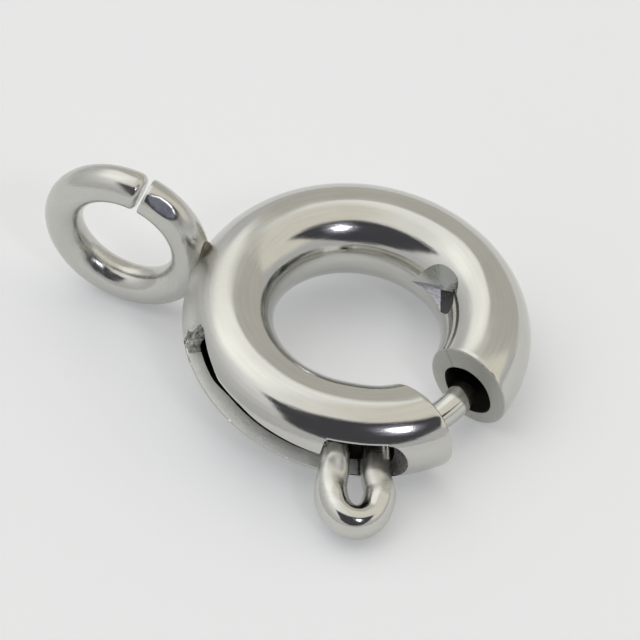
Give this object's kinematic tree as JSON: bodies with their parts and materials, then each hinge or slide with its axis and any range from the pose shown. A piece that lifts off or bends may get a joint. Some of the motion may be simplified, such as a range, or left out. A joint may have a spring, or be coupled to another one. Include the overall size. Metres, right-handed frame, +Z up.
{
  "type": "spring ring clasp",
  "caption": "Round spring clasp for a fine chain: a hollow ring with a gap, closed by a sprung wire tongue with a small loop to pull it back, and an eye soldered on across it.",
  "frame": {"origin": "centre of the main ring, in the middle plane of its tube", "axes": "+Z up from the table it lies on, +X from the eye towards the main ring, the trigger on the -Y side; the main ring leans 6.5 degrees about Y because the eye stands across it and props it up"},
  "size_m": [0.0088, 0.0071, 0.003],
  "materials": {
    "housing": "polished",
    "wire": "polished",
    "spring": "drawn wire"
  },
  "bodies": {
    "housing": {"housing": "housing", "spring": "spring"},
    "tongue": {"tongue": "wire"}
  },
  "joints": [
    {"name": "tongue_pull", "type": "hinge", "parent": "housing", "child": "tongue", "pos_m": [-0.00001, 0, -0.0001], "axis": [-0.2216, 0, -0.9751], "range_deg": [0, 60], "stiffness_Nm_per_rad": 0.0045, "deforming": ["spring"]}
  ]
}
